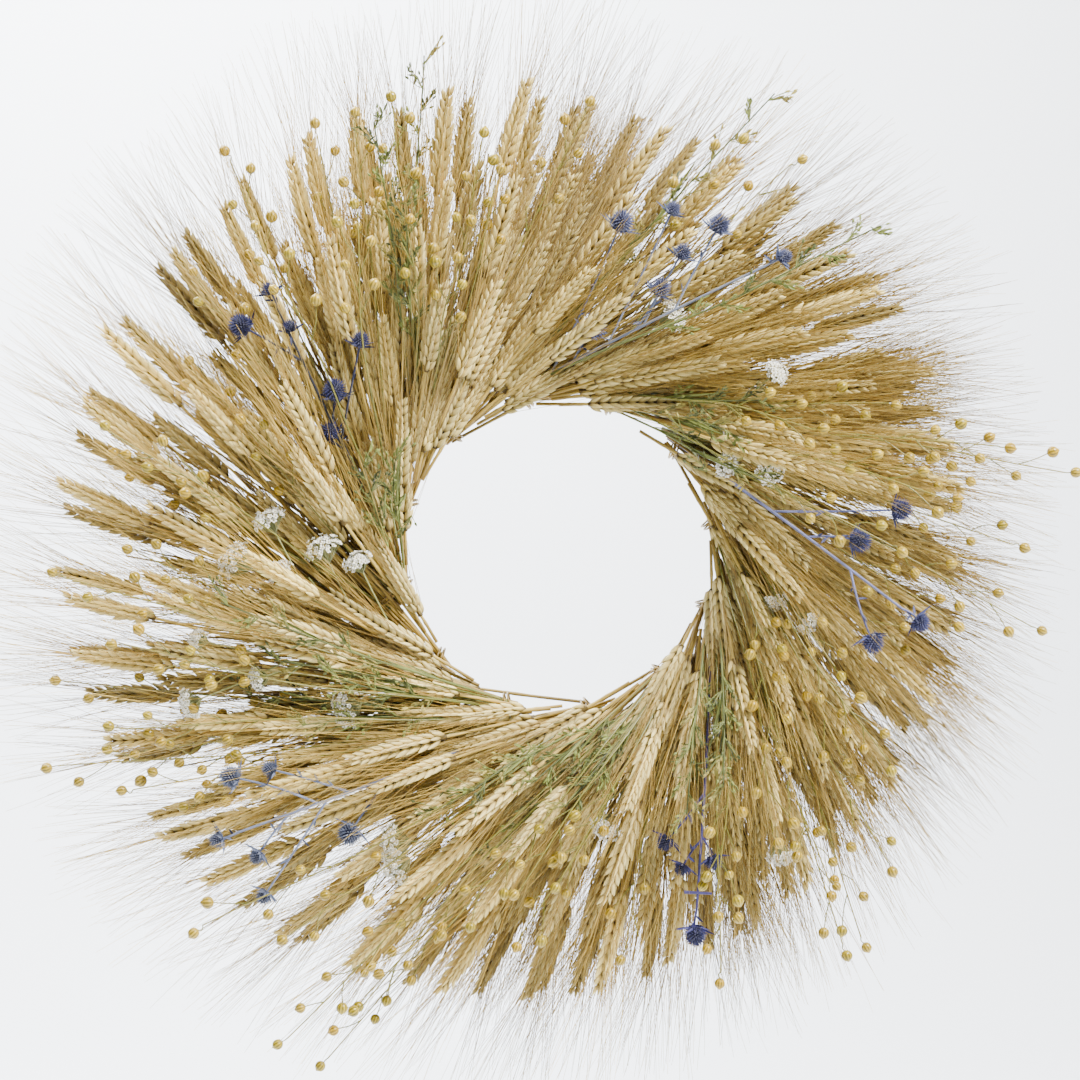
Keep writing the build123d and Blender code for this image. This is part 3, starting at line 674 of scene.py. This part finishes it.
def flax(node):
    """Thin stems with lobed capsules, five small sepals behind each."""
    stems, twigs, _ = sorted_solids(node)
    grown = Growth(len(stems) + len(twigs))
    for cell, line in enumerate(stems):
        add_tube(grown, cell, line, 0.58 * MM, 0.42 * MM, FLAX_STEM)
    for number, (root, tip, way, size) in enumerate(twigs):
        cell = len(stems) + number
        centre = tip - way * size
        start = nearest_on(stems, root)
        path = soft_path(start, centre - way * size * 0.9, rng.normal(0, 0.9) * MM, 6)
        add_tube(grown, cell, path, 0.38 * MM, 0.34 * MM, FLAX_STEM, 5)
        shape, tri, col, uv = POD
        dye = POD_DYES[rng.choice(POD_CHANCES)]
        axes = frames(way[None], rng.normal(size=(1, 3)))
        scale = np.full((1, 3), size * rng.uniform(0.92, 1.04))
        co = placed(shape, centre[None], axes, scale)
        grown.add(co, tri, col * dye * rng.uniform(0.86, 1.08), cell, HEAD_BAND, uv)
        turns = np.arange(5) * 2 * math.pi / 5
        out = axes[0, 1] * np.cos(turns)[:, None] + axes[0, 2] * np.sin(turns)[:, None]
        ways = unit(-way * 0.15 + out) * 0.85 + way * 0.5
        shape, tri, uv = SEPAL
        base = np.repeat((centre - way * size * 0.98)[None], 5, 0)
        leafy = np.tile([size * 0.85, size * 0.26, size * 0.26], (5, 1))
        co = placed(shape, base, frames(unit(ways), np.repeat(way[None], 5, 0)), leafy)
        grown.add(co, tri, SEPAL_TONE, cell, TRIM_BAND, uv)
    finish_spray(grown, node, flax_skin)


LEAF_STEPS, LEAF_THICK = 7, 0.12 * MM
LEAF_FRONT = np.array([0.15, -1.0, 0.2])  # leaves turn their flat side towards this
GRASSES = 7  # long blades on each main stem
LEAFLETS, BUDS = 8, 4  # on each side twig
GREEN_DARK, GREEN_LIGHT, GREEN_DRY = tone("434A1A"), tone("6C7430"), tone("8C8038")
GREENS = (GREEN_DARK, GREEN_LIGHT, GREEN_DRY)
GREEN_CHANCES = (0, 0, 1, 1, 2)


def blade(start, end, width, fold, curl, twist):
    """A narrow leaf with a folded midrib and a curled tip, seen from both sides."""
    along = unit(end - start)
    size = np.linalg.norm(end - start)
    side = unit(np.cross(along, LEAF_FRONT))
    up = np.cross(side, along)
    side = side * math.cos(twist) + up * math.sin(twist)
    up = np.cross(side, along)
    t = np.linspace(0, 1, LEAF_STEPS)
    half = width * np.sin(np.clip(t * 0.93 + 0.07, 0, 1) * math.pi) ** 0.8 * (1 - 0.25 * t)
    spine = start + along * (t * size)[:, None] + up * (curl * size * t ** 2)[:, None]
    wing = up * (fold * half)[:, None]
    rows = [spine - side * half[:, None] + wing, spine, spine + side * half[:, None] + wing]
    thin = up * LEAF_THICK
    co = np.concatenate([r + thin for r in rows] + [r - thin for r in rows])
    tri = []
    for layer in range(2):
        for k in range(2):
            for n in range(LEAF_STEPS - 1):
                a = layer * 3 * LEAF_STEPS + k * LEAF_STEPS + n
                b = a + LEAF_STEPS
                quad = [(a, b, b + 1), (a, b + 1, a + 1)]
                tri += quad if layer else [q[::-1] for q in quad]
    uv = np.stack([np.tile(np.repeat([0.0, 0.5, 1.0], LEAF_STEPS), 2), np.tile(t, 6)], 1)
    return co[None], np.array(tri), uv


def greens(node):
    """Green stems with grass blades, and side twigs with leaflets and buds."""
    stems, twigs, leaves = sorted_solids(node)
    grown = Growth(len(stems) + len(leaves) + len(twigs))
    for cell, line in enumerate(stems):
        add_tube(grown, cell, line, 0.75 * MM, 0.45 * MM, (GREEN_LIGHT * 0.9, GREEN_DARK))
        for _ in range(GRASSES):
            at = line[min(len(line) - 2, int(rng.uniform(0, 0.7) * len(line)))]
            way = unit(line[-1] - at) + rng.normal(0, 0.1, 3)
            end = at + unit(way) * rng.uniform(22, 48) * MM
            wide, curl, twist = rng.uniform(0.5, 1.0) * MM, rng.normal(0, 0.1), rng.normal(0, 0.9)
            co, tri, uv = blade(at, end, wide, 0.6, curl, twist)
            grown.add(co, tri, GREEN_LIGHT * rng.uniform(0.7, 1.1), cell, HEAD_BAND, uv)
    for number, (root, tip) in enumerate(leaves):
        cell = len(stems) + number
        start = nearest_on(stems, root)
        shade = GREENS[rng.choice(GREEN_CHANCES)] * rng.uniform(0.85, 1.15)
        path = soft_path(start, tip, rng.normal(0, 0.8) * MM, 6)
        add_tube(grown, cell, path, 0.34 * MM, 0.22 * MM, (GREEN_LIGHT, GREEN_DRY), 4)
        for part in range(LEAFLETS):
            at = path[1 + part % 5]
            end = at + unit(unit(tip - start) + rng.normal(0, 0.55, 3)) * rng.uniform(3.2, 6.5) * MM
            wide, curl, twist = rng.uniform(0.5, 1.1) * MM, rng.normal(0.05, 0.12), rng.normal(0, 0.7)
            co, tri, uv = blade(at, end, wide, 0.5, curl, twist)
            grown.add(co, tri, shade * rng.uniform(0.85, 1.15), cell, HEAD_BAND, uv)
        bud_ends = start + (tip - start) * 0.8 + rng.normal(0, 3.2 * MM, (BUDS, 3))
        for end in bud_ends:
            path = soft_path(start, end, rng.normal(0, 0.7) * MM, 4)
            add_tube(grown, cell, path, 0.28 * MM, 0.2 * MM, (GREEN_LIGHT, GREEN_LIGHT), 4)
        shape, tri, uv = KERNEL
        way = unit(bud_ends - start)
        scale = np.tile([3.2 * MM, 0.8 * MM, 0.8 * MM], (BUDS, 1))
        axes = frames(way, np.tile([0.3, 1.0, 0.1], (BUDS, 1)))
        co = placed(shape, bud_ends - way * 0.6 * MM, axes, scale)
        grown.add(co, tri, shade * 1.25, cell, TRIM_BAND, uv)
    finish_spray(grown, node, green_leaf)


SPINE_SIDES = 5
SPINE = lathe([(0, 1.0), (0.35, 0.8), (1.0, 0.05)], SPINE_SIDES)
HEAD_CORE = lathe([(0, 0.9), (0.5, 1.0), (1.0, 0.7), (1.06, 0.1)], 6)
BRACT_ROWS = ((7, 1.25, 0.25), (5, 0.85, 0.6))  # how many, how long, and how far they rise
BRACT_PAST = 3.6 * MM  # how far the CAD head's collar stands past the round head
HOLLY = {  # stem, head, head tip and bract colours
    "left": ("101120", "12143A", "2E3168", "1B1F42"),
    "top": ("6F7688", "2A2E50", "5E6488", "4A5270"),
    "right": ("6A6E98", "1C1F48", "474C7E", "383D66"),
    "bottom": ("3A3468", "14163C", "34376E", "2A2A60"),
    "lower_left": ("6C748E", "363D58", "727A90", "565F78"),
}


def holly(node):
    """Blue-grey stems with spiny round heads over two collars of narrow bracts."""
    stem_col, head_col, tip_col, bract_col = (tone(c) for c in HOLLY[node[len("sea_holly_"):]])
    stems, twigs, _ = sorted_solids(node)
    grown = Growth(len(stems) + len(twigs))
    for cell, line in enumerate(stems):
        add_tube(grown, cell, line, 1.05 * MM, 0.75 * MM, (stem_col, stem_col * 0.9), 8)
    for number, (root, tip, way, wide) in enumerate(twigs):
        cell = len(stems) + number
        size = wide - BRACT_PAST
        centre = tip - way * size
        path = soft_path(nearest_on(stems, root), centre, rng.normal(0, 1.0) * MM, 6)
        add_tube(grown, cell, path, 0.75 * MM, 0.6 * MM, (stem_col, bract_col), 7)
        count = int(46 + size / MM * 12)
        axes = frames(way[None], rng.normal(size=(1, 3)))[0]
        local = spiral_cap(count, 1.82, 1.12)
        out = unit(local @ axes)
        base = centre + (local @ axes) * size * 0.58
        shape, tri, uv = HEAD_CORE
        foot = centre - way * size * 0.74
        co = placed(shape, foot[None], axes[None], np.array([[size * 1.36, size * 0.6, size * 0.6]]))
        grown.add(co, tri, head_col * 0.6, cell, TRIM_BAND, uv)
        shape, tri, uv = SPINE
        long = size * 0.46 * rng.uniform(0.8, 1.2, count)
        scale = np.stack([long, np.full(count, size * 0.075), np.full(count, size * 0.075)], 1)
        co = placed(shape, base, frames(out, np.tile(rng.normal(size=3), (count, 1))), scale)
        shade = by_ring([0, 0.4, 1.0], SPINE_SIDES)
        col = head_col * (1 - shade) + tip_col * shade
        grown.add(co, tri, col[None] * rng.uniform(0.75, 1.2, (count, 1, 1)), cell, HEAD_BAND, uv)
        for rank, (bracts, reach_to, lift) in enumerate(BRACT_ROWS):
            for n in range(bracts):
                angle = (n + 0.5 * rank) * 2 * math.pi / bracts + rng.normal(0, 0.12)
                ray = axes[1] * math.cos(angle) + axes[2] * math.sin(angle)
                start = centre - way * size * 0.72
                long = (size + 4.2 * MM) * reach_to
                end = start + unit(ray + way * lift) * long * rng.uniform(0.85, 1.08)
                co, tri, uv = blade(start, end, 0.7 * MM, 0.7, 0.12, rng.normal(0, 0.4))
                grown.add(co, tri, bract_col * rng.uniform(0.8, 1.2), cell, TRIM_BAND, uv)
        for n in range(3):
            at = path[1 + n]
            end = at + unit(rng.normal(size=3) * [1, 0.5, 1] + way * 0.8) * rng.uniform(5, 8) * MM
            co, tri, uv = blade(at, end, 0.9 * MM, 0.6, 0.15, rng.normal(0, 0.6))
            grown.add(co, tri, bract_col * rng.uniform(0.8, 1.1), cell, TRIM_BAND, uv)
    finish_spray(grown, node, holly_skin)


PETAL_SIDES, PETALS = 5, 5
PETAL = lathe([(0, 0.3), (0.35, 0.85), (0.7, 1.0), (1.0, 0.3)], PETAL_SIDES, 0.3)
WHITE, CREAM, CALYX = tone("F4F2E6"), tone("B4AC6E"), tone("7F824C")
FLOWER_STEM = (tone("7E8449"), tone("8D9156"))
FLOWER_TWIG = (tone("8D9156"), tone("9A9C62"))


def flowers(node):
    """Thin stems with loose domes of small five-petalled flowers."""
    stems, twigs, _ = sorted_solids(node)
    grown = Growth(len(stems) + len(twigs))
    for cell, line in enumerate(stems):
        add_tube(grown, cell, line, 0.6 * MM, 0.5 * MM, FLOWER_STEM)
    for number, (root, tip, way, wide) in enumerate(twigs):
        cell = len(stems) + number
        size = wide / 1.06
        centre = tip - way * size * 0.6
        fork = centre - way * size * 1.1
        path = soft_path(nearest_on(stems, root), fork, rng.normal(0, 0.8) * MM, 5)
        add_tube(grown, cell, path, 0.55 * MM, 0.5 * MM, FLOWER_TWIG, 5)
        count = int(18 + size / MM * 5)
        axes = frames(way[None], rng.normal(size=(1, 3)))[0]
        local = spiral_cap(count, 1.15, 0.75)
        heads = centre + (local @ axes) * size * rng.uniform(0.95, 1.5, (count, 1))
        out = unit((local @ axes) + way * 0.35 + rng.normal(0, 0.2, (count, 3)))
        for head in heads:
            path = soft_path(fork, head, rng.normal(0, 0.5) * MM, 4)
            add_tube(grown, cell, path, 0.28 * MM, 0.22 * MM, (CALYX, CALYX), 4)
        facing = frames(out, np.tile([0.2, 0.3, 1.0], (count, 1)))
        shape, tri, uv = PETAL
        for n in range(PETALS):
            angle = n * 2 * math.pi / PETALS
            ray = facing[:, 1] * math.cos(angle) + facing[:, 2] * math.sin(angle)
            wide_open = rng.uniform(0.45, 0.95, (count, 1))
            dirs = unit(ray + out * wide_open)
            scale = np.tile([2.0 * MM, 0.8 * MM, 0.8 * MM], (count, 1)) * rng.uniform(0.85, 1.2, (count, 1))
            co = placed(shape, heads, frames(dirs, out), scale)
            shade = by_ring([0.0, 0.6, 1.0, 1.0], PETAL_SIDES)
            grown.add(co, tri, CREAM * (1 - shade) + WHITE * shade, cell, HEAD_BAND, uv)
        shape, tri, uv = SPINE
        scale = np.tile([1.1 * MM, 0.5 * MM, 0.5 * MM], (count, 1))
        co = placed(shape, heads, facing, scale)
        grown.add(co, tri, CREAM * 0.9, cell, TRIM_BAND, uv)
    finish_spray(grown, node, petal)


MAKERS = {"wheat": wheat_bundle, "flax": flax, "green": greens, "sea": holly, "white": flowers}
for node in sorted(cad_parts):
    maker = MAKERS.get(node.split("_")[0])
    if maker:
        maker(node)

kept_clear = []  # the heads that the short stalks leave in view
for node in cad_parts:
    if node.startswith(("sea_holly", "white_flowers")):
        for root, tip, _, _ in sorted_solids(node)[1]:
            kept_clear += [(tip + root) / 2, tip]
for tie in range(TIES):
    covering_stalks(tie, np.array(kept_clear))
    thatch(tie)

# ---------------------------------------------------------------- wire

WIRES = {
    "frame_ring": metal("ring_wire", tone("2E3B2A"), tone("55462F"), 0.45, 0.35),
    "hanging_loop": metal("loop_wire", tone("8E8F8C"), tone("6F6A60"), 0.38, 0.9),
    "binding_wires": metal("binding_wire", tone("8A7340"), tone("5E4E2C"), 0.5, 0.75),
}
for node, material in WIRES.items():
    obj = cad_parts[node]
    obj.data.materials.clear()
    obj.data.materials.append(material)

# ---------------------------------------------------------------- stage, light and camera

FLOOR, TOP = -1.0, 3.2  # heights of the floor and of the wall's edge
WALL, NEAR, SPAN = 2.7, -10.0, 9.0  # how far behind, in front and to each side it reaches
BEND, BEND_STEPS = 0.6, 12  # radius of the sweep between the floor and the wall


def cove():
    """A wide pale floor that sweeps up into a wall far behind the wreath."""
    line = [(NEAR, FLOOR)]
    for n in range(BEND_STEPS + 1):
        angle = math.pi / 2 * n / BEND_STEPS
        line.append((WALL - BEND + BEND * math.sin(angle), FLOOR + BEND - BEND * math.cos(angle)))
    line.append((WALL, TOP))
    co = [(x, y, z) for x in (-SPAN, SPAN) for y, z in line]
    count = len(line)
    faces = [(n, n + 1, count + n + 1, count + n) for n in range(count - 1)]
    mesh = bpy.data.meshes.new("backdrop")
    mesh.from_pydata(co, [], faces)
    mesh.shade_smooth()
    obj = bpy.data.objects.new("backdrop", mesh)
    bpy.context.scene.collection.objects.link(obj)
    material, tree, shader = nodes_of("backdrop_cloth")
    ramp = tree.nodes.new("ShaderNodeValToRGB")
    ramp.color_ramp.elements[0].color = (*tone("E4E7EB"), 1)
    ramp.color_ramp.elements[1].color = (*tone("EEF0F3"), 1)
    tree.links.new(noise(tree, 0.9, 2), ramp.inputs["Fac"])
    tree.links.new(ramp.outputs["Color"], shader.inputs["Base Color"])
    shader.inputs["Roughness"].default_value = 0.9
    mesh.materials.append(material)


def aim(obj, target):
    """Turns an object's -Z towards a point."""
    way = Vector(target) - Vector(obj.location)
    obj.rotation_euler = way.to_track_quat("-Z", "Y").to_euler()


def lamp(name, place, target, size, power, colour):
    """A round soft lamp aimed at a point."""
    light = bpy.data.lights.new(name, "AREA")
    light.shape, light.size, light.energy, light.color = "DISK", size, power, colour
    obj = bpy.data.objects.new(name, light)
    obj.location = place
    aim(obj, target)
    bpy.context.scene.collection.objects.link(obj)


cove()
lamp("key", (1.35, -1.2, 1.7), HOLE, 0.6, 310, (1.0, 0.985, 0.96))
lamp("fill", (-1.4, -2.0, 0.4), HOLE, 1.2, 6, (0.95, 0.97, 1.0))
lamp("wall", (-1.2, 0.7, 2.3), (-0.5, WALL, 0.3), 1.8, 620, (0.96, 0.98, 1.0))


def studio_world():
    """Dim light from all round, seen as a pale ground past the edge of the floor."""
    world = bpy.data.worlds.new("studio")
    bpy.context.scene.world = world
    world.use_nodes = True
    tree = world.node_tree
    dim = tree.nodes["Background"]
    dim.inputs["Color"].default_value = (0.93, 0.96, 1.0, 1)
    dim.inputs["Strength"].default_value = 0.18
    pale = tree.nodes.new("ShaderNodeBackground")
    pale.inputs["Color"].default_value = (0.93, 0.95, 0.98, 1)
    pale.inputs["Strength"].default_value = 1.0
    seen = tree.nodes.new("ShaderNodeLightPath")
    either = tree.nodes.new("ShaderNodeMixShader")
    tree.links.new(seen.outputs["Is Camera Ray"], either.inputs["Fac"])
    tree.links.new(dim.outputs["Background"], either.inputs[1])
    tree.links.new(pale.outputs["Background"], either.inputs[2])
    tree.links.new(either.outputs["Shader"], tree.nodes["World Output"].inputs["Surface"])


studio_world()

SPAN_SEEN, DISTANCE, SENSOR = 0.702, 1.25, 36.0  # width in view and distance in m, sensor in mm
VIEW_SIDE, VIEW_RISE = -0.011, 0.0085  # the view's middle, from the ring's centre
camera = bpy.data.objects.new("camera", bpy.data.cameras.new("camera"))
camera.data.sensor_width = SENSOR
camera.data.lens = SENSOR * DISTANCE / SPAN_SEEN
camera.location = (VIEW_SIDE, -DISTANCE, HOLE[2] + VIEW_RISE)
camera.rotation_euler = (math.pi / 2, 0, 0)
camera.data.clip_end = 50
bpy.context.scene.collection.objects.link(camera)
bpy.context.scene.camera = camera
